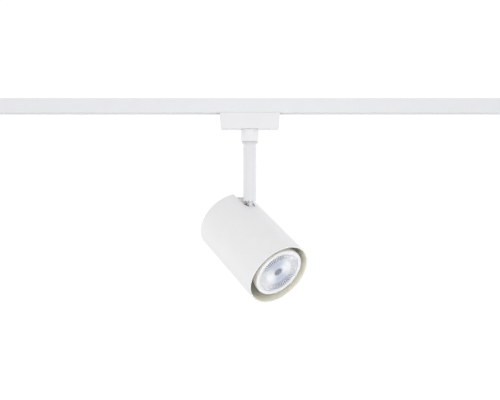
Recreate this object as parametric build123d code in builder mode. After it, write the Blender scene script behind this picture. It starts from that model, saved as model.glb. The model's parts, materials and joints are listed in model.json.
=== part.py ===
from build123d import *
from math import cos, hypot, radians, sin
import os

# Track spotlight. A short ceiling rail carries a plug-in adapter that slides along it.
# A stem pans under the adapter, and a cylindrical head tilts on the stem's lower end.
# A twist-in reflector lamp sits inside the head.
# X runs along the rail, -Y is the front, Z is up.
# The origin is the centre of the rail's ceiling face, straight above the stem.

# Rail
rail_length = 500.0
rail_depth = 21.4
rail_height = 13.7
rail_wall = 1.3
rail_web = 1.5
rail_lip = 1.3
rail_mouth = 10.0
rail_corner = 0.25
ledge_reach = 1.3
ledge_height = 0.8
ledge_z = -10.1
ceiling_hole_spacing = 300.0
ceiling_hole_radius = 2.25
insulator_thickness = 2.7
insulator_top = -1.6
insulator_height = 8.0
groove_z = -6.4
groove_height = 2.6
groove_depth = 1.8
conductor_thickness = 0.9
end_cap_thickness = 2.0
end_plug_length = 9.0
end_plug_width = 11.6
end_plug_height = 9.8

# Adapter
adapter_top = -13.8
adapter_width = 58.0
adapter_depth = 21.4
adapter_height = 15.4
adapter_taper = 4.0
adapter_wall = 1.6
adapter_floor = 2.0
cover_thickness = 2.0
cover_gap = 0.1
neck_radius = 4.7
neck_top = -2.6
neck_bore = 2.5
neck_bore_top = -9.0
wing_radius = 8.8
wing_width = 8.4
wing_bottom = -12.3
wing_thickness = 1.4
cover_screw_x = 23.0
screw_radius = 1.2
boss_radius = 2.8

# Swivel
collar_radius = 8.5
collar_top = adapter_top - adapter_height
collar_length = 12.1
spigot_radius = 6.4
spigot_top = -24.5
nipple_radius = 5.0
nipple_bore = 3.5
running_gap = 0.05
swivel_washer_radius = 7.55
swivel_washer_thickness = 1.4

# Stem
stem_radius = 6.4
stem_bore = 5.02
stem_top = collar_top - collar_length - swivel_washer_thickness - 0.1
stem_end = -99.2

# Hinge
pan_rest = 51.3
tilt_rest = 58.0
pivot_z = -105.69
pivot_offset = 29.6
pivot_from_rear = 21.82
pivot_drop = stem_end - pivot_z
tongue_thickness = 4.0
tongue_half_width = 1.8
tongue_eye = 2.3
hinge_pin_radius = 1.5
hinge_washer_thickness = 0.5
ear_thickness = 1.5
ear_radius = 2.4

# Head
head_radius = 32.5
head_wall = 1.35
head_length = 92.1
slot_width = 13.4
slot_taper_start = 17.0
slot_front = 23.9
slot_front_width = 10.0
rear_cap_recess = 0.6
rear_cap_thickness = 1.4
rear_cap_skirt = 6.0
rear_cap_notch = 28.6
ramp_half_width = 10.0
ramp_rear = 1.4
ramp_front = 9.0
ramp_top_rear = 28.5
ramp_top_front = 25.85
ramp_thickness = 1.2
holder_rear = 28.0
holder_flange = 4.0
holder_front = 42.7
holder_radius = 8.9
pin_pitch = 10.0
lamp_twist = 30.0
lamp_shift_x = 1.3
lamp_shift_y = 0.6
lamp_rear = 43.0
lamp_front = head_length - 2.1
lamp_radius = 25.0
lens_radius = 21.0
lens_rear = 86.2
lens_front = 89.0

# Directions of the head in its resting pose
pan_angle = radians(pan_rest)
tilt_angle = radians(tilt_rest)
head_axis_dir = Vector(
    sin(tilt_angle) * cos(pan_angle),
    -sin(tilt_angle) * sin(pan_angle),
    -cos(tilt_angle),
)
hinge_dir = Vector(sin(pan_angle), cos(pan_angle), 0)
head_top_dir = head_axis_dir.cross(hinge_dir)
swing_dir = Vector(cos(pan_angle), -sin(pan_angle), 0)
pivot = Vector(0, 0, pivot_z)
head_rear = pivot - head_axis_dir * pivot_from_rear - head_top_dir * pivot_offset
head_axis = Axis(head_rear, head_axis_dir)
lamp_origin = head_rear + hinge_dir * lamp_shift_x + head_top_dir * lamp_shift_y
lamp_axis = Axis(lamp_origin, head_axis_dir)

# Cross planes of the head: local x along the hinge, local y towards the head's top
head_plane = Plane(origin=head_rear, x_dir=hinge_dir, z_dir=head_axis_dir)
# Lengthwise plane of the head: local x along the head, local y towards its top
head_section = Plane(origin=head_rear, x_dir=head_axis_dir, z_dir=hinge_dir * -1)
# The same two planes for the lamp, whose bracket sits slightly off the casing's axis
lamp_plane = Plane(origin=lamp_origin, x_dir=hinge_dir, z_dir=head_axis_dir)
lamp_section = Plane(origin=lamp_origin, x_dir=head_axis_dir, z_dir=hinge_dir * -1)
# Plan view of the head from its top: local x along the head, local y along the hinge
head_plan = Plane(origin=head_rear, x_dir=head_axis_dir, z_dir=head_top_dir)
# Vertical plane of the stem in which the head swings: local y is up
swing_plane = Plane(origin=(0, 0, 0), x_dir=swing_dir, z_dir=hinge_dir * -1)
# Vertical plane of the stem that holds the hinge axis: local y is up
hinge_plane = Plane(origin=(0, 0, 0), x_dir=hinge_dir, z_dir=swing_dir)


def save(part, label):
    """Name one part and write it to its file."""
    part.label = label
    export_step(part, "parts/" + label + ".step")


def wire_rod(plane, points, bend, radius):
    """Sweep a round wire along a bent path drawn on the given plane."""
    with BuildPart(mode=Mode.PRIVATE) as rod:
        with BuildLine(plane) as path:
            if len(points) > 2:
                FilletPolyline(*points, radius=bend)
            else:
                Line(*points)
        with BuildSketch(Plane(origin=path.line @ 0, z_dir=path.line % 0)):
            Circle(radius)
        sweep()
    return rod.part


os.makedirs("parts", exist_ok=True)

# ---------------------------------------------------------------- rail

# Channel profile, open downwards, with ledges that hold the insulators
with BuildPart() as rail_profile:
    with BuildSketch(Plane.YZ):
        with Locations((0, -rail_height / 2)):
            RectangleRounded(rail_depth, rail_height, rail_corner)
        with Locations((0, -(rail_height + rail_web - rail_lip) / 2)):
            Rectangle(
                rail_depth - 2 * rail_wall,
                rail_height - rail_web - rail_lip,
                mode=Mode.SUBTRACT,
            )
        with BuildLine():
            Polyline(
                (-rail_mouth / 2, -rail_height + rail_lip),
                (rail_mouth / 2, -rail_height + rail_lip),
                (rail_mouth / 2 + rail_lip, -rail_height),
                (-rail_mouth / 2 - rail_lip, -rail_height),
                close=True,
            )
        make_face(mode=Mode.SUBTRACT)
        for side in (-1, 1):
            with Locations((side * (rail_depth / 2 - rail_wall - ledge_reach / 2), ledge_z)):
                Rectangle(ledge_reach, ledge_height)
    extrude(amount=rail_length / 2, both=True)
    with Locations((-ceiling_hole_spacing / 2, 0, 0), (ceiling_hole_spacing / 2, 0, 0)):
        Hole(radius=ceiling_hole_radius, depth=2 * rail_web)
save(rail_profile.part, "rail_profile")

# Two insulating strips with a groove for the conductor
insulator_y = rail_depth / 2 - rail_wall - insulator_thickness / 2
insulator_face = insulator_y - insulator_thickness / 2
with BuildPart() as rail_insulators:
    with BuildSketch(Plane.YZ):
        for side in (-1, 1):
            with Locations((side * insulator_y, insulator_top - insulator_height / 2)):
                Rectangle(insulator_thickness, insulator_height)
            with Locations((side * (insulator_face + groove_depth / 2), groove_z)):
                Rectangle(groove_depth, groove_height, mode=Mode.SUBTRACT)
    extrude(amount=rail_length / 2 - 1, both=True)
save(rail_insulators.part, "rail_insulators")

# Copper conductors at the bottom of the grooves
conductor_y = insulator_face + groove_depth - conductor_thickness / 2
with BuildPart() as rail_conductors:
    with BuildSketch(Plane.YZ):
        for side in (-1, 1):
            with Locations((side * conductor_y, groove_z)):
                Rectangle(conductor_thickness, groove_height)
    extrude(amount=rail_length / 2 - 5, both=True)
save(rail_conductors.part, "rail_conductors")

# End caps: a plate over the cut end and a hollow plug between the insulators
for side, label in ((-1, "rail_end_cap_left"), (1, "rail_end_cap_right")):
    end_plane = Plane(origin=(side * rail_length / 2, 0, -rail_height / 2), x_dir=(0, 1, 0), z_dir=(side, 0, 0))
    with BuildPart() as rail_end_cap:
        with BuildSketch(end_plane):
            RectangleRounded(rail_depth, rail_height, rail_corner)
        extrude(amount=end_cap_thickness)
        fillet(rail_end_cap.faces().sort_by(Axis.X)[0 if side < 0 else -1].edges(), 0.6)
        with BuildSketch(end_plane):
            Rectangle(end_plug_width, end_plug_height)
            Rectangle(end_plug_width - 3, end_plug_height - 3, mode=Mode.SUBTRACT)
        extrude(amount=-end_plug_length)
    save(rail_end_cap.part, label)

# ---------------------------------------------------------------- adapter

adapter_plane = Plane(origin=(0, 0, adapter_top), x_dir=(1, 0, 0), z_dir=(0, 0, -1))
floor_z = adapter_top - adapter_height + adapter_floor

# Tapered box, open at the top, with two screw bosses and the hole for the collar
with BuildPart() as adapter_housing:
    with BuildSketch(adapter_plane):
        RectangleRounded(adapter_width, adapter_depth, 1.5)
    extrude(amount=adapter_height, taper=adapter_taper)
    fillet(adapter_housing.faces().sort_by(Axis.Z)[0].edges(), 0.6)
    with BuildSketch(adapter_plane):
        RectangleRounded(adapter_width - 2 * adapter_wall, adapter_depth - 2 * adapter_wall, 1.0)
    extrude(amount=adapter_height - adapter_floor, taper=adapter_taper, mode=Mode.SUBTRACT)
    with BuildSketch(Plane.XY.offset(floor_z)):
        with Locations((-cover_screw_x, 0), (cover_screw_x, 0)):
            Circle(boss_radius)
    extrude(amount=adapter_height - adapter_floor - cover_thickness - cover_gap)
    with BuildSketch(Plane.XY.offset(adapter_top)):
        with Locations((-cover_screw_x, 0), (cover_screw_x, 0)):
            Circle(screw_radius)
    extrude(amount=-(adapter_height - adapter_floor - 2), mode=Mode.SUBTRACT)
    with BuildSketch(Plane.XY.offset(floor_z)):
        Circle(spigot_radius + 0.02)
    extrude(amount=-2 * adapter_floor, mode=Mode.SUBTRACT)
save(adapter_housing.part, "adapter_housing")

# Cover with the neck that enters the rail and the wings that hang on its lips
cover_top = adapter_top - cover_gap
cover_bottom = cover_top - cover_thickness
with BuildPart() as adapter_cover:
    with BuildSketch(Plane.XY.offset(cover_bottom)):
        RectangleRounded(adapter_width - 2 * adapter_wall - 0.6, adapter_depth - 2 * adapter_wall - 0.6, 0.8)
    extrude(amount=cover_thickness)
    with BuildSketch(Plane.XY.offset(cover_bottom)):
        Circle(neck_radius)
    extrude(amount=neck_top - cover_bottom)
    with BuildSketch(Plane.XY.offset(wing_bottom)):
        Circle(wing_radius)
        Rectangle(wing_width, 2 * wing_radius, mode=Mode.INTERSECT)
    extrude(amount=wing_thickness)
    with BuildSketch(Plane.XY.offset(cover_bottom)):
        Circle(neck_bore)
    extrude(amount=neck_bore_top - cover_bottom, mode=Mode.SUBTRACT)
    with BuildSketch(Plane.XY.offset(neck_top)):
        Circle(0.9)
    extrude(amount=neck_bore_top - neck_top - 1, mode=Mode.SUBTRACT)
    for side in (-1, 1):
        with Locations((0, side * 4.9, -7.0)):
            Box(4.4, 3.0, 7.0, mode=Mode.SUBTRACT)
        with Locations((0, side * 2.7, -9.9)):
            Box(4.4, 2.0, 1.2, mode=Mode.SUBTRACT)
    with Locations((-cover_screw_x, 0, cover_top), (cover_screw_x, 0, cover_top)):
        CounterSinkHole(radius=1.3, counter_sink_radius=2.4, depth=4)
save(adapter_cover.part, "adapter_cover")

# Side contacts: a strip in the neck's pocket, a nose in the conductor groove, a foot inside
for side, label in ((-1, "adapter_contact_live"), (1, "adapter_contact_neutral")):
    with BuildPart() as adapter_contact:
        with Locations((0, side * 3.8, -7.25)):
            Box(3.8, 0.6, 5.9)
        with Locations((0, side * 5.35, groove_z)):
            Box(3.8, 2.9, 1.4)
        fillet(
            adapter_contact.edges().filter_by(Axis.Z).filter_by_position(
                Axis.Y, min(side * 6, side * 7), max(side * 6, side * 7)
            ),
            1.2,
        )
        with Locations((0, side * 2.55, -9.9)):
            Box(3.0, 2.1, 0.6)
    save(adapter_contact.part, label)

# Earth spring on the neck's top, just under the rail's web
with BuildPart() as adapter_earth_contact:
    with BuildSketch(Plane.XZ.offset(-1.6)):
        with BuildLine():
            Polyline(
                (-4.6, neck_top),
                (4.6, neck_top),
                (4.6, neck_top + 0.4),
                (3.0, neck_top + 0.4),
                (1.2, neck_top + 0.95),
                (-1.2, neck_top + 0.95),
                (-3.0, neck_top + 0.4),
                (-4.6, neck_top + 0.4),
                close=True,
            )
        make_face()
    extrude(amount=3.2)
save(adapter_earth_contact.part, "adapter_earth_contact")

# Countersunk screws that close the cover onto the bosses
with BuildPart() as adapter_screws:
    with Locations((-cover_screw_x, 0, cover_top), (cover_screw_x, 0, cover_top)):
        Cylinder(radius=screw_radius, height=10, align=(Align.CENTER, Align.CENTER, Align.MAX))
        Cone(
            bottom_radius=screw_radius,
            top_radius=2.3,
            height=1.1,
            align=(Align.CENTER, Align.CENTER, Align.MAX),
        )
    with Locations((-cover_screw_x, 0, cover_top), (cover_screw_x, 0, cover_top)):
        Box(3.2, 0.6, 1.0, mode=Mode.SUBTRACT)
        Box(0.6, 3.2, 1.0, mode=Mode.SUBTRACT)
save(adapter_screws.part, "adapter_screws")

# Terminal block on the adapter's floor with three clamping screws
terminal_x = 14.0
terminal_pitch = 3.8
terminal_height = 8.4
terminal_spots = [(terminal_x, row * terminal_pitch) for row in (-1, 0, 1)]
with BuildPart() as terminal_block:
    with BuildSketch(Plane.XY.offset(floor_z)):
        with Locations((terminal_x, 0)):
            RectangleRounded(9.6, 12.4, 0.5)
    extrude(amount=terminal_height)
    with BuildSketch(Plane.XY.offset(floor_z + terminal_height)):
        with Locations(*[(x - 2.2, y) for x, y in terminal_spots]):
            Circle(1.1)
        with Locations(*[(x + 2.2, y) for x, y in terminal_spots]):
            Circle(1.45)
    extrude(amount=-5.5, mode=Mode.SUBTRACT)
save(terminal_block.part, "terminal_block")

with BuildPart() as terminal_screws:
    with BuildSketch(Plane.XY.offset(floor_z + terminal_height - 0.6)):
        with Locations(*[(x + 2.2, y) for x, y in terminal_spots]):
            Circle(1.4)
    extrude(amount=-4.0)
    with BuildSketch(Plane.XY.offset(floor_z + terminal_height - 0.6)):
        with Locations(*[(x + 2.2, y) for x, y in terminal_spots]):
            Rectangle(0.5, 2.8)
    extrude(amount=-0.7, mode=Mode.SUBTRACT)
save(terminal_screws.part, "terminal_screws")

# Leads from the three contacts to the terminal block
lead_radius = 0.7
lead_level = -17.1
with BuildPart() as adapter_leads:
    for row, lead_top in ((-1, -10.25), (0, -3.0), (1, -10.25)):
        start_y = row * 1.6
        run_x = terminal_x - 2.2
        run_y = row * terminal_pitch - start_y
        run = hypot(run_x, run_y)
        lead_plane = Plane(origin=(0, start_y, 0), x_dir=(run_x, run_y, 0), z_dir=(run_y, -run_x, 0))
        add(
            wire_rod(
                lead_plane,
                [(0, lead_top), (0, lead_level), (run, lead_level), (run, floor_z + terminal_height - 4)],
                1.6,
                lead_radius,
            )
        )
save(adapter_leads.part, "adapter_leads")

# ---------------------------------------------------------------- swivel and stem

# Collar under the adapter with a threaded spigot through its floor
with BuildPart() as swivel_collar:
    with BuildSketch(Plane.XY.offset(collar_top)):
        Circle(collar_radius)
    extrude(amount=-collar_length)
    fillet(swivel_collar.edges().filter_by(GeomType.CIRCLE), 0.6)
    with BuildSketch(Plane.XY.offset(collar_top - 1)):
        Circle(spigot_radius)
    extrude(amount=spigot_top - collar_top + 1)
    with BuildSketch(Plane.XY.offset(spigot_top)):
        Circle(nipple_radius + running_gap)
    extrude(amount=-(collar_length + adapter_height), mode=Mode.SUBTRACT)
save(swivel_collar.part, "swivel_collar")

with BuildPart() as collar_nut:
    with BuildSketch(Plane.XY.offset(floor_z)):
        RegularPolygon(radius=8.6, side_count=6)
        Circle(spigot_radius + 0.02, mode=Mode.SUBTRACT)
    extrude(amount=2.4)
    chamfer(collar_nut.edges().filter_by(GeomType.LINE).group_by(Axis.Z)[-1], 0.4)
save(collar_nut.part, "collar_nut")

# Washer in the groove between the collar and the stem
with BuildPart() as swivel_washer:
    with BuildSketch(Plane.XY.offset(stem_top)):
        Circle(swivel_washer_radius)
        Circle(nipple_radius + 0.02, mode=Mode.SUBTRACT)
    extrude(amount=swivel_washer_thickness)
save(swivel_washer.part, "swivel_washer")

# Hollow threaded nipple fixed in the stem's top and held above the collar by a nut
nipple_top = -19.6
with BuildPart() as stem_nipple:
    with BuildSketch(Plane.XY.offset(nipple_top)):
        Circle(nipple_radius)
        Circle(nipple_bore, mode=Mode.SUBTRACT)
    extrude(amount=-36)
    chamfer(stem_nipple.edges().filter_by(GeomType.CIRCLE).group_by(Axis.Z)[-1], 0.4)
save(stem_nipple.part, "stem_nipple")

with BuildPart() as wave_washer:
    with BuildSketch(Plane.XY.offset(spigot_top + 0.05)):
        Circle(7.0)
        Circle(nipple_radius + 0.02, mode=Mode.SUBTRACT)
    extrude(amount=0.7)
save(wave_washer.part, "wave_washer")

with BuildPart() as lock_nut:
    with BuildSketch(Plane.XY.offset(spigot_top + 0.75)):
        RegularPolygon(radius=7.4, side_count=6)
        Circle(nipple_radius + 0.02, mode=Mode.SUBTRACT)
    extrude(amount=2.8)
    chamfer(lock_nut.edges().filter_by(GeomType.LINE).group_by(Axis.Z)[-1], 0.4)
save(lock_nut.part, "lock_nut")

with BuildPart() as stem_tube:
    with BuildSketch(Plane.XY.offset(stem_end)):
        Circle(stem_radius)
        Circle(stem_bore, mode=Mode.SUBTRACT)
    extrude(amount=stem_top - stem_end)
    chamfer(stem_tube.edges().filter_by(GeomType.CIRCLE).group_by(Axis.Z)[0], 0.2)
save(stem_tube.part, "stem_tube")

# Plug in the stem's lower end with the flat tongue that takes the hinge pin
plug_length = 12.0
stem_wire_offset = 3.3
with BuildPart() as hinge_tongue:
    with BuildSketch(Plane.XY.offset(stem_end + 0.3)):
        Circle(stem_bore - 0.02)
        with Locations(
            (hinge_dir.X * stem_wire_offset, hinge_dir.Y * stem_wire_offset),
            (-hinge_dir.X * stem_wire_offset, -hinge_dir.Y * stem_wire_offset),
        ):
            Circle(1.15, mode=Mode.SUBTRACT)
    extrude(amount=plug_length)
    with BuildSketch(swing_plane):
        with Locations((0, pivot_z)):
            Circle(tongue_eye)
            Rectangle(2 * tongue_half_width, pivot_drop + 3, align=(Align.CENTER, Align.MIN))
    extrude(amount=tongue_thickness / 2, both=True)
    with BuildSketch(swing_plane):
        with Locations((0, pivot_z)):
            Circle(hinge_pin_radius + running_gap)
    extrude(amount=tongue_thickness, both=True, mode=Mode.SUBTRACT)
save(hinge_tongue.part, "hinge_tongue")

# Two leads through the nipple, the stem and the plug
with BuildPart() as stem_leads:
    for side in (-1, 1):
        add(
            wire_rod(
                hinge_plane,
                [
                    (side * 1.4, nipple_top),
                    (side * 1.4, -60),
                    (side * stem_wire_offset, -68),
                    (side * stem_wire_offset, stem_end - 1.2),
                ],
                5,
                0.9,
            )
        )
save(stem_leads.part, "stem_leads")

# ---------------------------------------------------------------- head

# Thin cylinder, open in front, slotted from the rear edge for the stem
with BuildPart() as head_casing:
    with BuildSketch(head_plane):
        Circle(head_radius)
        Circle(head_radius - head_wall, mode=Mode.SUBTRACT)
    extrude(amount=head_length)
    chamfer(head_casing.edges().filter_by(GeomType.CIRCLE), 0.2)
    with BuildSketch(head_plan.offset(pivot_offset - 8)) as slot_outline:
        with BuildLine():
            Polyline(
                (-5, -slot_width / 2),
                (slot_taper_start, -slot_width / 2),
                (slot_front, -slot_front_width / 2),
                (slot_front, slot_front_width / 2),
                (slot_taper_start, slot_width / 2),
                (-5, slot_width / 2),
                close=True,
            )
        make_face()
        fillet(slot_outline.vertices().group_by(Axis.X)[-1], 1.0)
    extrude(amount=20, mode=Mode.SUBTRACT)
save(head_casing.part, "head_casing")

# Rear cap with a short skirt. A notch with a ramp clears the stem where the head hangs steepest.
cap_radius = head_radius - head_wall - 0.02
cap_screw_x = 19.0
with BuildPart() as rear_cap:
    with BuildSketch(head_plane.offset(rear_cap_recess)):
        Circle(cap_radius)
    extrude(amount=rear_cap_skirt)
    with BuildSketch(head_plane.offset(rear_cap_recess + rear_cap_thickness)):
        Circle(cap_radius - 1.2)
    extrude(amount=rear_cap_skirt, mode=Mode.SUBTRACT)
    with BuildSketch(head_plane):
        with Locations((0, rear_cap_notch)):
            Rectangle(slot_width, 12, align=(Align.CENTER, Align.MIN))
        with Locations((-cap_screw_x, 0), (cap_screw_x, 0)):
            Circle(1.55)
    extrude(amount=rear_cap_skirt + 4, mode=Mode.SUBTRACT)
    with BuildSketch(head_section):
        with BuildLine():
            Polyline(
                (ramp_rear, ramp_top_rear),
                (ramp_front, ramp_top_front),
                (ramp_front, ramp_top_front - ramp_thickness),
                (ramp_rear, ramp_top_rear - ramp_thickness),
                close=True,
            )
        make_face()
    extrude(amount=ramp_half_width, both=True)
save(rear_cap.part, "rear_cap")

# Hinge bracket: a saddle under the casing's wall and two ears that hold the pin
washer_face = tongue_thickness / 2 + 0.05
ear_face = washer_face + hinge_washer_thickness + 0.02
inner_radius = head_radius - head_wall
with BuildPart() as hinge_bracket:
    with BuildSketch(head_plane.offset(slot_front + 2)):
        Circle(inner_radius - 0.02)
        Circle(inner_radius - 1.5, mode=Mode.SUBTRACT)
        with Locations((0, inner_radius - 2)):
            Rectangle(19, 10, mode=Mode.INTERSECT)
    extrude(amount=15)
    for side in (-1, 1):
        with BuildSketch(head_section.offset(side * (ear_face + ear_thickness / 2))):
            with Locations((pivot_from_rear, pivot_offset)):
                Circle(ear_radius)
                Rectangle(19, 3.4, align=(Align.MIN, Align.MAX))
            with Locations((slot_front + 2, pivot_offset)):
                Rectangle(14, 1.1, align=(Align.MIN, Align.MIN))
            with Locations((pivot_from_rear, pivot_offset)):
                Circle(hinge_pin_radius + 0.02, mode=Mode.SUBTRACT)
        extrude(amount=ear_thickness / 2, both=True)
save(hinge_bracket.part, "hinge_bracket")

# Hinge pin with a head at each end
pin_reach = ear_face + ear_thickness + 0.02
pin_plane = Plane(origin=pivot, x_dir=head_axis_dir, z_dir=hinge_dir)
with BuildPart() as hinge_pin:
    with BuildSketch(pin_plane):
        Circle(hinge_pin_radius)
    extrude(amount=pin_reach + 0.8, both=True)
    for side in (-1, 1):
        with BuildSketch(pin_plane.offset(side * pin_reach)):
            Circle(2.3)
        extrude(amount=side * 0.8)
    fillet(hinge_pin.faces().sort_by(Axis(pivot, hinge_dir))[0].edges(), 0.4)
    fillet(hinge_pin.faces().sort_by(Axis(pivot, hinge_dir))[-1].edges(), 0.4)
save(hinge_pin.part, "hinge_pin")

with BuildPart() as friction_washers:
    for side in (-1, 1):
        with BuildSketch(pin_plane.offset(side * washer_face)):
            Circle(tongue_eye)
            Circle(hinge_pin_radius + 0.02, mode=Mode.SUBTRACT)
        extrude(amount=side * hinge_washer_thickness)
save(friction_washers.part, "friction_washers")

# U-shaped bracket from the rear cap to the lampholder
bracket_thickness = 1.2
bracket_half = 15.2
bracket_depth = 14.0
cap_inside = rear_cap_recess + rear_cap_thickness
holder_screw_x = 11.6
with BuildPart() as holder_bracket:
    with BuildSketch(lamp_plane.offset(holder_rear - bracket_thickness)):
        Rectangle(2 * bracket_half, bracket_depth)
        with Locations((-holder_screw_x, 0), (holder_screw_x, 0)):
            Circle(1.52, mode=Mode.SUBTRACT)
    extrude(amount=bracket_thickness)
    for side in (-1, 1):
        with BuildSketch(lamp_plane.offset(cap_inside)):
            with Locations((side * (bracket_half - bracket_thickness / 2), 0)):
                Rectangle(bracket_thickness, bracket_depth)
        extrude(amount=holder_rear - cap_inside)
        with BuildSketch(lamp_plane.offset(cap_inside)):
            with Locations((side * bracket_half, 0)):
                Rectangle(
                    8,
                    bracket_depth,
                    align=(Align.MIN if side > 0 else Align.MAX, Align.CENTER),
                )
            with Locations((side * cap_screw_x - lamp_shift_x, -lamp_shift_y)):
                Circle(1.52, mode=Mode.SUBTRACT)
        extrude(amount=bracket_thickness)
save(holder_bracket.part, "holder_bracket")

# Screws through the rear cap into the bracket's feet
with BuildPart() as cap_screws:
    with BuildSketch(head_plane.offset(rear_cap_recess)):
        with Locations((-cap_screw_x, 0), (cap_screw_x, 0)):
            Circle(1.5)
    extrude(amount=5.5)
    with BuildSketch(head_plane.offset(rear_cap_recess)):
        with Locations((-cap_screw_x, 0), (cap_screw_x, 0)):
            Circle(2.8)
    extrude(amount=-1.8)
    fillet(
        cap_screws.faces().sort_by(head_axis)[0:2].edges(),
        0.8,
    )
    with BuildSketch(head_plane.offset(rear_cap_recess - 1.8)):
        with Locations((-cap_screw_x, 0), (cap_screw_x, 0)):
            Rectangle(3.2, 0.6)
            Rectangle(0.6, 3.2)
    extrude(amount=1.2, mode=Mode.SUBTRACT)
save(cap_screws.part, "cap_screws")

# Ceramic lampholder with two keyhole slots for the lamp's pins
pin_circle = pin_pitch / 2
slot_floor = 35.0
slot_lip = 39.7
with BuildPart() as lampholder:
    with BuildSketch(lamp_plane.offset(holder_rear)):
        SlotOverall(29, 15)
        with Locations((-holder_screw_x, 0), (holder_screw_x, 0)):
            Circle(1.55, mode=Mode.SUBTRACT)
    extrude(amount=holder_flange)
    with BuildSketch(lamp_plane.offset(holder_rear)):
        Circle(holder_radius)
        with Locations((-holder_screw_x, 0), (holder_screw_x, 0)):
            Circle(3.0, mode=Mode.SUBTRACT)
    extrude(amount=holder_front - holder_rear)
    for start in (0, 180):
        with BuildSketch(lamp_plane.offset(slot_floor)):
            with BuildLine(mode=Mode.PRIVATE) as track:
                CenterArc((0, 0), pin_circle, start, lamp_twist)
            SlotArc(track.edge(), 5.8)
        extrude(amount=slot_lip - slot_floor, mode=Mode.SUBTRACT)
        with BuildSketch(lamp_plane.offset(slot_lip)):
            with BuildLine(mode=Mode.PRIVATE) as track:
                CenterArc((0, 0), pin_circle, start, lamp_twist)
            SlotArc(track.edge(), 3.6)
            with PolarLocations(pin_circle, 1, start_angle=start + lamp_twist):
                Circle(2.8)
        extrude(amount=holder_front - slot_lip + 1, mode=Mode.SUBTRACT)
save(lampholder.part, "lampholder")

with BuildPart() as holder_screws:
    with BuildSketch(lamp_plane.offset(holder_rear - bracket_thickness - 1.5)):
        with Locations((-holder_screw_x, 0), (holder_screw_x, 0)):
            Circle(1.5)
    extrude(amount=bracket_thickness + 1.5 + holder_flange)
    with BuildSketch(lamp_plane.offset(holder_rear + holder_flange)):
        with Locations((-holder_screw_x, 0), (holder_screw_x, 0)):
            Circle(2.6)
    extrude(amount=1.8)
    fillet(
        holder_screws.faces().sort_by(lamp_axis)[-2:].edges(),
        0.7,
    )
save(holder_screws.part, "holder_screws")

# Contact springs at the bottom of the keyhole slots
with BuildPart() as holder_contacts:
    with BuildSketch(lamp_plane.offset(slot_floor)):
        with Locations((-pin_circle, 0), (pin_circle, 0)):
            Circle(2.4)
    extrude(amount=0.7)
save(holder_contacts.part, "holder_contacts")

# Leads from the lampholder's side up to the hinge
with BuildPart() as head_leads:
    for side in (-1, 1):
        add(
            wire_rod(
                head_section.offset(side * stem_wire_offset),
                [(33.5, 9.5), (33.5, 18.5), (24.5, 18.5), (24.5, 24.6)],
                3,
                0.9,
            )
        )
save(head_leads.part, "head_leads")

# ---------------------------------------------------------------- lamp

lamp_base_front = 57.0
lamp_rim = 84.2
with BuildPart() as lamp_base:
    with BuildSketch(lamp_section):
        with BuildLine():
            Polyline(
                (lamp_rear, 0),
                (lamp_rear, 9.6),
                (lamp_rear + 1.2, 10.8),
                (lamp_rear + 8, 11.6),
                (lamp_base_front, 12.4),
                (lamp_base_front, 0),
                close=True,
            )
        make_face()
    revolve(axis=lamp_axis)
save(lamp_base.part, "lamp_base")

with BuildPart() as lamp_pins:
    with BuildSketch(lamp_plane.offset(lamp_rear)):
        with Locations((-pin_circle, 0), (pin_circle, 0)):
            Circle(1.5)
    extrude(amount=-3.8)
    with BuildSketch(lamp_plane.offset(lamp_rear - 3.8)):
        with Locations((-pin_circle, 0), (pin_circle, 0)):
            Circle(2.5)
    extrude(amount=-3.2)
save(lamp_pins.part, "lamp_pins")

# Flared lamp body, hollow in front
with BuildPart() as lamp_body:
    with BuildSketch(lamp_section):
        with BuildLine():
            Polyline(
                (lamp_base_front, 0),
                (lamp_base_front, 13.2),
                (lamp_base_front + 2, 14.6),
                (68, 19.0),
                (78, 23.4),
                (81, 24.4),
                (lamp_rim, 24.7),
                (lamp_rim, 22.9),
                (80, 22.2),
                (77, 21.2),
                (66, 15.8),
                (61, 12.4),
                (61, 0),
                close=True,
            )
        make_face()
    revolve(axis=lamp_axis)
save(lamp_body.part, "lamp_body")

# Circuit board with its light-emitting chip
board_rear = 74.0
with BuildPart() as led_board:
    with BuildSketch(lamp_plane.offset(board_rear)):
        Circle(18.6)
    extrude(amount=1.4)
save(led_board.part, "led_board")

with BuildPart() as led_chip:
    with BuildSketch(lamp_plane.offset(board_rear + 1.4)):
        RectangleRounded(8.4, 8.4, 0.6)
    extrude(amount=0.7)
    with BuildSketch(lamp_plane.offset(board_rear + 2.1)):
        Circle(3.4)
    extrude(amount=0.4)
save(led_chip.part, "led_chip")

# Clear collimator behind the ribbed lens
with BuildPart() as lamp_optic:
    with BuildSketch(lamp_section):
        with BuildLine():
            Polyline(
                (board_rear + 3.2, 3.9),
                (board_rear + 3.2, 5.6),
                (82.5, 13.6),
                (85.9, 19.4),
                (85.9, 0),
                (80.6, 0),
                (79.6, 3.5),
                close=True,
            )
        make_face()
    revolve(axis=lamp_axis)
save(lamp_optic.part, "lamp_optic")

# Front lens with radial ribs around a dished centre
rib_count = 60
with BuildPart() as lamp_lens:
    with BuildSketch(lamp_plane.offset(lens_rear)):
        Circle(lens_radius)
    extrude(amount=lens_front - lens_rear)
    with BuildSketch(lamp_plane.offset(lens_front - 0.8)):
        Circle(9.4)
    extrude(amount=2, mode=Mode.SUBTRACT)
    with BuildSketch(lamp_plane.offset(lens_front - 0.4)):
        with PolarLocations(15.1, rib_count):
            Rectangle(9.6, 0.75)
    extrude(amount=2, mode=Mode.SUBTRACT)
save(lamp_lens.part, "lamp_lens")

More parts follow.
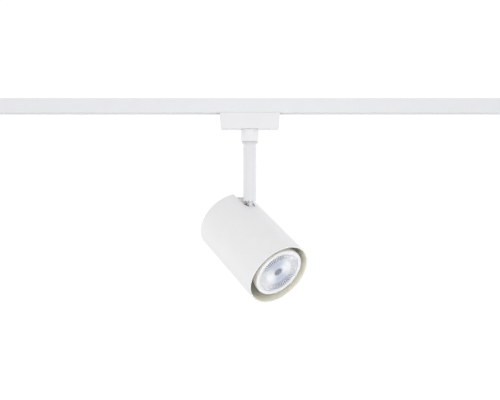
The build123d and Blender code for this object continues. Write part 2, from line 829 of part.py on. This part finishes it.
# White rim of the lamp around the lens
with BuildPart() as lamp_bezel:
    with BuildSketch(lamp_section):
        with BuildLine():
            Polyline(
                (lamp_rim, 22.0),
                (lamp_rim, lamp_radius - 0.2),
                (lamp_rim + 0.6, lamp_radius),
                (lamp_front - 0.9, lamp_radius),
                (lamp_front - 0.25, lamp_radius - 0.3),
                (lamp_front, lamp_radius - 1.1),
                (lamp_front, lens_radius + 1.2),
                (lamp_front - 0.3, lens_radius + 0.4),
                (lamp_front - 1.0, lens_radius + 0.05),
                (lens_rear, lens_radius + 0.05),
                (lens_rear, 22.0),
                close=True,
            )
        make_face()
    revolve(axis=lamp_axis)
save(lamp_bezel.part, "lamp_bezel")
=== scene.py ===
import json
import math

import bmesh
import bpy
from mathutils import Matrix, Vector


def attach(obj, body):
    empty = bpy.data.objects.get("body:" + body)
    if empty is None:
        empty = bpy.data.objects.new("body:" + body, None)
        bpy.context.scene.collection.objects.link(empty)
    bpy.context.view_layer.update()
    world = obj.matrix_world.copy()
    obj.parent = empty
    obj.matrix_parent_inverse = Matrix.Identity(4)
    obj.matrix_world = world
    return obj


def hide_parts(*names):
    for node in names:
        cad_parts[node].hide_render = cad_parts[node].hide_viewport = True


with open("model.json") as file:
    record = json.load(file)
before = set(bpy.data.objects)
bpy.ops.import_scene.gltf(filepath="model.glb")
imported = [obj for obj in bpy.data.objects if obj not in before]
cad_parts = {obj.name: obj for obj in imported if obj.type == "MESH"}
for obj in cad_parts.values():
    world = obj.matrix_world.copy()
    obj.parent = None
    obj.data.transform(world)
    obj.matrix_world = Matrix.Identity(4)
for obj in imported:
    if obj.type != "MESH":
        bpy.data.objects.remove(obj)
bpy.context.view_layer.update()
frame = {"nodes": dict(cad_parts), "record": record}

MM = 0.001

# ------------------------------------------------------------------ reference directions

joints = {j["name"]: j for j in frame["record"]["behaviour"]["joints"]}
HINGE_POINT = Vector(joints["head_tilt"]["pos_m"])
HINGE_DIR = Vector(joints["head_tilt"]["axis"]).normalized()
HEAD_DIR = Vector(joints["lamp_twist"]["axis"]).normalized()
HEAD_TOP = HEAD_DIR.cross(HINGE_DIR).normalized()
PIVOT_FROM_REAR = 21.82 * MM
PIVOT_FROM_AXIS = 29.6 * MM
LAMP_REAR = 43.0 * MM
HEAD_REAR = HINGE_POINT - HEAD_DIR * PIVOT_FROM_REAR - HEAD_TOP * PIVOT_FROM_AXIS
LAMP_ORIGIN = Vector(joints["lamp_twist"]["pos_m"]) - HEAD_DIR * LAMP_REAR
BORE_RADIUS = 31.15 * MM
RIBS = 60
LOBE_TURN = math.radians(40)
SHARP_ANGLE = math.radians(38)


def head_point(x, y, s):
    """A point in the head's own frame: x along the hinge, y to the top, s from the rear edge."""
    return HEAD_REAR + HINGE_DIR * x + HEAD_TOP * y + HEAD_DIR * s


def lamp_point(x, y, s):
    """The same for the lamp, whose axis lies slightly beside the head's."""
    return LAMP_ORIGIN + HINGE_DIR * x + HEAD_TOP * y + HEAD_DIR * s


# ------------------------------------------------------------------ material helpers


class Nodes:
    """Short calls for building one material's node tree."""

    def __init__(self, name):
        self.mat = bpy.data.materials.new(name)
        self.mat.use_nodes = True
        self.tree = self.mat.node_tree
        self.tree.nodes.clear()
        self.out = self.tree.nodes.new("ShaderNodeOutputMaterial")
        self.bsdf = self.tree.nodes.new("ShaderNodeBsdfPrincipled")
        self.tree.links.new(self.bsdf.outputs[0], self.out.inputs["Surface"])
        self.coords = self.tree.nodes.new("ShaderNodeTexCoord").outputs["Object"]

    def node(self, kind, **inputs):
        n = self.tree.nodes.new(kind)
        for key, value in inputs.items():
            self.put(n.inputs[key.replace("_", " ")], value)
        return n

    def put(self, socket, value):
        if isinstance(value, bpy.types.NodeSocket):
            self.tree.links.new(value, socket)
        else:
            socket.default_value = value

    def math(self, operation, a, b=0.0):
        n = self.tree.nodes.new("ShaderNodeMath")
        n.operation = operation
        self.put(n.inputs[0], a)
        self.put(n.inputs[1], b)
        return n.outputs[0]

    def vector(self, operation, a, b):
        n = self.tree.nodes.new("ShaderNodeVectorMath")
        n.operation = operation
        self.put(n.inputs[0], a)
        self.put(n.inputs[1], b)
        return n

    def noise(self, scale, detail=3.0, roughness=0.5, stretch=None):
        source = self.coords
        if stretch:
            mapping = self.node("ShaderNodeMapping", Vector=self.coords)
            mapping.inputs["Scale"].default_value = stretch
            source = mapping.outputs[0]
        n = self.node("ShaderNodeTexNoise", Vector=source, Scale=scale)
        n.inputs["Detail"].default_value = detail
        n.inputs["Roughness"].default_value = roughness
        return n.outputs["Fac"]

    def ramp(self, fac, stops):
        n = self.node("ShaderNodeValToRGB", Fac=fac)
        ramp = n.color_ramp
        while len(ramp.elements) < len(stops):
            ramp.elements.new(0.5)
        for element, (position, colour) in zip(ramp.elements, stops):
            element.position = position
            element.color = (*colour, 1.0)
        return n.outputs["Color"]

    def span(self, fac, low, high):
        n = self.node("ShaderNodeMapRange", Value=fac)
        n.inputs["To Min"].default_value = low
        n.inputs["To Max"].default_value = high
        return n.outputs[0]

    def step(self, value, low, high):
        """Rises smoothly from 0 at low to 1 at high."""
        n = self.node("ShaderNodeMapRange", Value=value)
        n.interpolation_type = "SMOOTHSTEP"
        n.inputs["From Min"].default_value = low
        n.inputs["From Max"].default_value = high
        return n.outputs[0]

    def polar(self, origin):
        """Radius and angle about the head's direction through the origin point, and distance along it."""
        rel = self.vector("SUBTRACT", self.coords, tuple(origin)).outputs[0]
        x = self.vector("DOT_PRODUCT", rel, tuple(HINGE_DIR)).outputs["Value"]
        y = self.vector("DOT_PRODUCT", rel, tuple(HEAD_TOP)).outputs["Value"]
        squares = self.math("ADD", self.math("MULTIPLY", x, x), self.math("MULTIPLY", y, y))
        along = self.vector("DOT_PRODUCT", rel, tuple(HEAD_DIR)).outputs["Value"]
        return self.math("SQRT", squares), self.math("ARCTAN2", y, x), along

    def mix(self, fac, a, b):
        n = self.tree.nodes.new("ShaderNodeMix")
        n.data_type = "RGBA"
        self.put(n.inputs[0], fac)
        self.put(n.inputs[6], (*a, 1.0) if isinstance(a, tuple) else a)
        self.put(n.inputs[7], (*b, 1.0) if isinstance(b, tuple) else b)
        return n.outputs[2]

    def bump(self, height, strength, distance):
        n = self.node("ShaderNodeBump", Height=height, Strength=strength, Distance=distance)
        self.put(self.bsdf.inputs["Normal"], n.outputs[0])

    def set(self, **inputs):
        for key, value in inputs.items():
            self.put(self.bsdf.inputs[key.replace("_", " ")], value)


def shade(colour, factor):
    return tuple(min(1.0, c * factor) for c in colour)


def powder_coat(name, colour, roughness):
    """Satin powder coat: faint mottling of the white and a fine orange-peel grain."""
    m = Nodes(name)
    mottle = m.noise(70.0, 4.0, 0.6)
    m.set(Base_Color=m.ramp(mottle, [(0.3, shade(colour, 0.985)), (0.7, shade(colour, 1.01))]))
    m.set(Roughness=m.span(m.noise(900.0, 2.0), roughness - 0.05, roughness + 0.06))
    m.set(Specular_IOR_Level=0.5)
    m.bump(m.noise(1800.0, 2.0, 0.6), 0.12, 0.00006)
    return m


def moulded(name, colour, roughness, grain=1200.0):
    """Moulded plastic: near-even colour with a spark-eroded grain."""
    m = Nodes(name)
    tone = m.noise(45.0, 3.0)
    m.set(Base_Color=m.ramp(tone, [(0.3, shade(colour, 0.98)), (0.7, shade(colour, 1.01))]))
    m.set(Roughness=m.span(m.noise(grain, 1.0), roughness - 0.04, roughness + 0.05))
    m.bump(m.noise(grain, 3.0, 0.7), 0.10, 0.00005)
    return m


def opal(name, colour, roughness):
    """Translucent white moulding: a moulded surface that light bleeds through."""
    m = moulded(name, colour, roughness)
    m.set(Subsurface_Weight=0.8, Subsurface_Radius=(1.0, 1.0, 0.95), Subsurface_Scale=0.006)
    return m


def metal(name, colour, roughness, stretch=(1.0, 1.0, 1.0), scale=600.0):
    """Bare metal with drawn or turned lines along the unstretched axis."""
    m = Nodes(name)
    lines = m.noise(scale, 5.0, 0.7, stretch)
    m.set(Base_Color=m.ramp(lines, [(0.25, shade(colour, 0.86)), (0.75, shade(colour, 1.05))]))
    m.set(Metallic=1.0, Roughness=m.span(lines, roughness - 0.08, roughness + 0.14))
    m.bump(lines, 0.15, 0.00005)
    return m


def ceramic(name, colour):
    """Unglazed steatite: fine speckle and a dry surface."""
    m = Nodes(name)
    speckle = m.noise(2200.0, 2.0, 0.8)
    m.set(Base_Color=m.ramp(speckle, [(0.35, shade(colour, 0.9)), (0.6, colour)]))
    m.set(Roughness=m.span(m.noise(500.0), 0.55, 0.75))
    m.bump(speckle, 0.2, 0.00008)
    return m


def silicone(name, colour):
    """Wire sleeve: soft sheen and faint lengthwise streaks."""
    m = Nodes(name)
    m.set(Base_Color=m.ramp(m.noise(300.0, 3.0), [(0.3, shade(colour, 0.94)), (0.7, colour)]))
    m.set(Roughness=m.span(m.noise(800.0), 0.42, 0.58))
    m.bump(m.noise(1500.0), 0.1, 0.00005)
    return m


def head_paint(name, outside, inside, inner_radius):
    """Casing paint: white outside; on the bore a warmer tone painted much lighter than the outside, a
    painted fill light for the shaded bore.
    """
    m = Nodes(name)
    radial, _, _ = m.polar(HEAD_REAR)
    on_bore = m.math("LESS_THAN", radial, inner_radius + 0.00025)
    mottle = m.noise(70.0, 4.0, 0.6)
    white = m.ramp(mottle, [(0.3, shade(outside, 0.985)), (0.7, shade(outside, 1.01))])
    # Painted fill light: the bore gets a warmer tone much lighter than the outside paint.
    lightened_bore = m.ramp(m.noise(160.0, 4.0, 0.6), [(0.3, shade(inside, 0.95)), (0.7, shade(inside, 1.03))])
    m.set(Base_Color=m.mix(on_bore, white, lightened_bore))
    m.set(Roughness=m.span(m.noise(900.0, 2.0), 0.38, 0.5))
    m.bump(m.noise(1800.0, 2.0, 0.6), 0.12, 0.00006)
    return m


# Lens tints for painted light: shade in two lobes, a highlight, shade in the middle rings and shade in
# the grooves between the ribs.
SHADOW_TINT = (0.42, 0.49, 0.68)
PAINTED_HIGHLIGHT_TINT = (1.0, 1.0, 1.0)
CENTRE_SHADE_TINT = (0.20, 0.19, 0.27)
GROOVE_SHADE_TINT = (0.06, 0.08, 0.14)


def ribbed_lens(name, tint):
    """Clear moulding with painted light in its colour: painted shade in two lobes and in the grooves
    between the ribs, a painted highlight on the other two sides and across the ribs, painted shade in
    rings at the middle, and a middle that lets more light through.
    """
    m = Nodes(name)
    radius, angle, _ = m.polar(LAMP_ORIGIN)
    flow = m.noise(260.0, 3.0)
    colour = m.ramp(flow, [(0.3, shade(tint, 0.96)), (0.7, tint)])
    lobes = m.math("COSINE", m.math("MULTIPLY", m.math("SUBTRACT", angle, LOBE_TURN), 2.0))
    inner = m.step(radius, 3.0 * MM, 7.0 * MM)
    shadow = m.math("MULTIPLY", m.step(lobes, 0.4, -1.0), inner)
    colour = m.mix(m.math("MULTIPLY", shadow, 0.65), colour, SHADOW_TINT)
    # Painted highlight: two sides of the lens are whitened out to about 17 mm radius.
    highlight_band = m.math("MULTIPLY", inner, m.step(radius, 17.0 * MM, 11.0 * MM))
    painted_highlight = m.math("MULTIPLY", m.step(lobes, 0.2, 1.0), highlight_band)
    colour = m.mix(m.math("MULTIPLY", painted_highlight, 0.8), colour, PAINTED_HIGHLIGHT_TINT)
    rib = m.math("ABSOLUTE", m.math("SINE", m.math("MULTIPLY", angle, RIBS / 2)))
    rib_start = m.step(radius, 12.5 * MM, 15.5 * MM)
    ribbed = m.math("MULTIPLY", rib_start, m.step(radius, 20.6 * MM, 20.2 * MM))
    # Painted highlight: the whole ribbed band is whitened.
    colour = m.mix(m.math("MULTIPLY", ribbed, 0.6), colour, PAINTED_HIGHLIGHT_TINT)
    # Painted shade: dark rings darken the lens middle, standing in for the dark well of the optic behind
    # it.
    rings = m.step(m.math("SINE", m.math("MULTIPLY", radius, 2 * math.pi / (1.5 * MM))), -0.5, 0.5)
    centre_shade = m.math("MULTIPLY", m.span(rings, 0.45, 0.95), m.step(radius, 4.6 * MM, 3.6 * MM))
    colour = m.mix(centre_shade, colour, CENTRE_SHADE_TINT)
    # Painted shade: the grooves between the ribs are darkened, more strongly in the shaded lobes.
    groove_shade_band = m.math("MULTIPLY", ribbed, m.span(shadow, 0.35, 1.0))
    groove_shade = m.math("MULTIPLY", m.step(rib, 0.85, 0.4), groove_shade_band)
    m.set(Base_Color=m.mix(groove_shade, colour, GROOVE_SHADE_TINT))
    m.set(Roughness=m.span(flow, 0.06, 0.16))
    m.set(Transmission_Weight=m.span(inner, 0.4, 0.25), IOR=1.49)
    m.bump(m.noise(1500.0, 2.0), 0.05, 0.00004)
    return m


def optic_plastic(name, tint):
    """Half-clear collimator with fine turned rings at its middle, painted dark at the rear as painted
    shade.
    """
    m = Nodes(name)
    radius, _, along = m.polar(LAMP_ORIGIN)
    tone = m.ramp(m.noise(300.0, 3.0), [(0.3, shade(tint, 0.95)), (0.7, tint)])
    rings = m.step(m.math("SINE", m.math("MULTIPLY", radius, 2 * math.pi / (1.15 * MM))), -0.4, 0.6)
    at_front = m.step(along, 83.0 * MM, 84.0 * MM)
    at_rear = m.math("SUBTRACT", 1.0, at_front)
    ring_band = m.math("MULTIPLY", rings, m.step(radius, 5.0 * MM, 4.0 * MM))
    # Painted shade: the rings at the rear middle of the optic are darkened to near black.
    centre_shade = m.math("MULTIPLY", at_rear, ring_band)
    m.set(Base_Color=m.mix(m.math("MULTIPLY", centre_shade, 0.9), tone, (0.10, 0.09, 0.12)))
    window = m.math("MULTIPLY", at_front, m.step(radius, 6.5 * MM, 5.0 * MM))
    m.set(Roughness=m.span(m.noise(700.0), 0.04, 0.1))
    m.set(Transmission_Weight=m.span(window, 0.1, 0.95), IOR=1.49)
    m.bump(m.noise(1500.0, 2.0), 0.05, 0.00004)
    return m


# ------------------------------------------------------------------ materials

RAIL_WHITE = (0.740, 0.745, 0.765)
STEM_WHITE = (0.700, 0.708, 0.722)
HEAD_WHITE = (0.740, 0.740, 0.748)
PLASTIC_WHITE = (0.750, 0.753, 0.768)
COLLAR_WHITE = (0.770, 0.770, 0.780)
# Bore tint painted lighter than the outside, as painted fill light in the shaded bore.
BORE_LIGHTENED_TINT = (0.94, 0.92, 0.80)
STEEL = (0.62, 0.62, 0.63)
BRONZE = (0.72, 0.55, 0.28)
COPPER = (0.80, 0.42, 0.26)

materials = {
    "rail_paint": powder_coat("rail_paint", RAIL_WHITE, 0.42),
    "adapter_plastic": moulded("adapter_plastic", PLASTIC_WHITE, 0.45),
    "collar_plastic": moulded("collar_plastic", COLLAR_WHITE, 0.45),
    "insulator": moulded("insulator", (0.72, 0.72, 0.72), 0.5),
    "copper": metal("copper", COPPER, 0.3, (0.02, 1.0, 1.0)),
    "contact_metal": metal("contact_metal", BRONZE, 0.28, (1.0, 1.0, 0.1)),
    "steel": metal("steel", STEEL, 0.32, (1.0, 1.0, 0.15)),
    "stem_paint": powder_coat("stem_paint", STEM_WHITE, 0.4),
    "washer_nylon": moulded("washer_nylon", (0.62, 0.62, 0.61), 0.5),
    "head_paint": head_paint("head_paint", HEAD_WHITE, BORE_LIGHTENED_TINT, BORE_RADIUS),
    "bracket_steel": metal("bracket_steel", STEEL, 0.36, (0.1, 1.0, 1.0)),
    "ceramic": ceramic("ceramic", (0.80, 0.78, 0.72)),
    "lead_insulation": silicone("lead_insulation", (0.74, 0.73, 0.69)),
    "lamp_white": opal("lamp_white", (0.75, 0.75, 0.765), 0.3),
    "lamp_base": moulded("lamp_base", (0.84, 0.84, 0.82), 0.4),
    "lens_clear": ribbed_lens("lens_clear", (0.84, 0.87, 0.93)),
    "board": moulded("board", (0.88, 0.89, 0.90), 0.4),
    "chip": moulded("chip", (0.85, 0.70, 0.22), 0.5),
}

slots = {row["node"]: row["material_slot"] for row in frame["record"]["subparts"]}
for name, obj in frame["nodes"].items():
    obj.data.materials.clear()
    obj.data.materials.append(materials[slots[name]].mat)
frame["nodes"]["rear_cap"].data.materials[0] = powder_coat("cap_paint", HEAD_WHITE, 0.42).mat
frame["nodes"]["lamp_optic"].data.materials[0] = optic_plastic("optic_clear", (0.86, 0.88, 0.93)).mat


# ------------------------------------------------------------------ lens


def new_piece(name, mesh_builder, slot, body, replaced):
    """Make one piece from a bmesh in place of a CAD node, with its slot's material, riding a body."""
    bm = bmesh.new()
    mesh_builder(bm)
    bmesh.ops.recalc_face_normals(bm, faces=bm.faces)
    mesh = bpy.data.meshes.new(name)
    bm.to_mesh(mesh)
    bm.free()
    obj = bpy.data.objects.new(name, mesh)
    bpy.context.collection.objects.link(obj)
    mesh.materials.append(materials[slot].mat)
    mesh.shade_smooth()
    mesh.set_sharp_from_angle(angle=SHARP_ANGLE)
    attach(obj, body)
    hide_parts(replaced)


def surface(bm, rings):
    """Join rings of points into a skin; a ring of one point closes the skin to a tip."""
    rows = [[bm.verts.new(point) for point in ring] for ring in rings]
    count = max(len(row) for row in rows)
    for first, second in zip(rows, rows[1:]):
        for k in range(count):
            n = (k + 1) % count
            if len(first) == 1:
                bm.faces.new((first[0], second[k], second[n]))
            elif len(second) == 1:
                bm.faces.new((first[k], first[n], second[0]))
            else:
                bm.faces.new((first[k], first[n], second[n], second[k]))


def lamp_ring(r, segments, height):
    """Points round the lamp's axis at radius r; height gives s for each angle, all in mm."""
    if r == 0:
        return [lamp_point(0, 0, height(0) * MM)]
    points = []
    for k in range(segments):
        a = 2 * math.pi * k / segments
        points.append(lamp_point(r * MM * math.cos(a), r * MM * math.sin(a), height(a) * MM))
    return points


LENS_RADIUS = 21.0
LENS_REAR = 86.2
LENS_FRONT = 88.9
RIB_STEPS = 8
RIB_DEPTH = 0.55
RIB_START = 13.0
RIB_END = 20.4
DISH_RADIUS = 3.6


def lens_height(r, a):
    """Front surface of the lens, in mm from the rear edge of the head."""
    if r < DISH_RADIUS:
        return LENS_FRONT - 0.7 + 0.2 * math.cos(r * math.pi / 0.6) ** 2
    swell = LENS_FRONT - 0.25 - 0.45 * math.cos(min(1.0, (r - DISH_RADIUS) / 9.0) * math.pi)
    swell = min(swell, LENS_FRONT)
    if r <= RIB_START or r >= RIB_END:
        return swell
    wave = abs(math.sin(RIBS * a / 2))
    fade = min(1.0, (r - RIB_START) / 1.2, (RIB_END - r) / 0.4)
    return swell - RIB_DEPTH * (1 - wave) * fade


def build_lens(bm):
    segments = RIBS * RIB_STEPS
    radii = [0.15 * k for k in range(24)] + [3.6, 4.2, 5.0, 6.0, 7.2, 8.4, 9.6, 10.8, 12.0, 13.0, 13.6]
    radii += [14.2, 15.0, 16.2, 17.4, 18.6, 19.6, 20.0, 20.4, 20.7, LENS_RADIUS]
    rings = [lamp_ring(r, segments, lambda a, r=r: lens_height(r, a)) for r in radii]
    rings.append(lamp_ring(LENS_RADIUS, segments, lambda a: LENS_REAR))
    rings.append(lamp_ring(0, segments, lambda a: LENS_REAR))
    surface(bm, rings)


new_piece("lens_front", build_lens, "lens_clear", "lamp", "lamp_lens")

# ------------------------------------------------------------------ stage, light, camera


FLOOR_RADIUS = 1.6
FLOOR_HEIGHT = -1.0


def make_floor():
    bm = bmesh.new()
    bmesh.ops.create_circle(bm, cap_ends=True, segments=96, radius=FLOOR_RADIUS)
    mesh = bpy.data.meshes.new("floor")
    bm.to_mesh(mesh)
    bm.free()
    obj = bpy.data.objects.new("floor", mesh)
    obj.location = (0, 0, FLOOR_HEIGHT)
    bpy.context.collection.objects.link(obj)
    mat = Nodes("floor_paint")
    mat.set(Base_Color=(0.9, 0.9, 0.9, 1.0), Roughness=0.8)
    mesh.materials.append(mat.mat)


make_floor()

BACKDROP_STRENGTH = 1.05
STUDIO_STRENGTH = 1.04

scene = bpy.context.scene
scene.view_settings.view_transform = "Standard"
scene.view_settings.look = "None"

world = bpy.data.worlds.new("studio")
scene.world = world
world.use_nodes = True
tree = world.node_tree
tree.nodes.clear()
out = tree.nodes.new("ShaderNodeOutputWorld")
seen = tree.nodes.new("ShaderNodeBackground")
seen.inputs["Color"].default_value = (1, 1, 1, 1)
seen.inputs["Strength"].default_value = BACKDROP_STRENGTH
lit = tree.nodes.new("ShaderNodeBackground")
lit.inputs["Color"].default_value = (1.0, 1.0, 1.0, 1)
lit.inputs["Strength"].default_value = STUDIO_STRENGTH
path = tree.nodes.new("ShaderNodeLightPath")
mixer = tree.nodes.new("ShaderNodeMixShader")
tree.links.new(path.outputs["Is Camera Ray"], mixer.inputs[0])
tree.links.new(lit.outputs[0], mixer.inputs[1])
tree.links.new(seen.outputs[0], mixer.inputs[2])
tree.links.new(mixer.outputs[0], out.inputs["Surface"])


def area_light(name, position, target, size, power, spread=180.0):
    data = bpy.data.lights.new(name, "AREA")
    data.shape = "RECTANGLE"
    data.spread = math.radians(spread)
    data.size, data.size_y = size
    data.energy = power
    obj = bpy.data.objects.new(name, data)
    obj.location = position
    aim = Vector(target) - Vector(position)
    obj.rotation_mode = "QUATERNION"
    obj.rotation_quaternion = aim.to_track_quat("-Z", "Y")
    bpy.context.collection.objects.link(obj)


CENTRE = (0, 0, -0.1)
HEAD_FRONT = head_point(0, 0, 90.0 * MM)
area_light("rim_right", (1.2, 0.75, 0.0), CENTRE, (0.6, 1.2), 2.4)
area_light("rim_left", (-1.2, 0.75, 0.0), CENTRE, (0.6, 1.2), 1.8)
area_light("low", (0.0, -0.5, -0.95), (0, 0, 0), (1.2, 0.6), 1.0)
FILL_DIR = Vector((0.30, -0.90, -0.32)).normalized()
FILL_DISTANCE = 0.85
area_light("fill", HEAD_FRONT + FILL_DIR * FILL_DISTANCE, HEAD_FRONT, (0.25, 0.25), 0.03, 24.0)

SENSOR_WIDTH = 36.0
FOCAL_PER_WIDTH = 1.4388
EYE = (0.0002, -0.703, -0.0982)

camera_data = bpy.data.cameras.new("camera")
camera_data.sensor_width = SENSOR_WIDTH
camera_data.lens = FOCAL_PER_WIDTH * SENSOR_WIDTH
camera_data.clip_start = 0.01
camera = bpy.data.objects.new("camera", camera_data)
camera.location = EYE
camera.rotation_euler = (math.radians(90), 0, 0)
bpy.context.collection.objects.link(camera)
scene.camera = camera
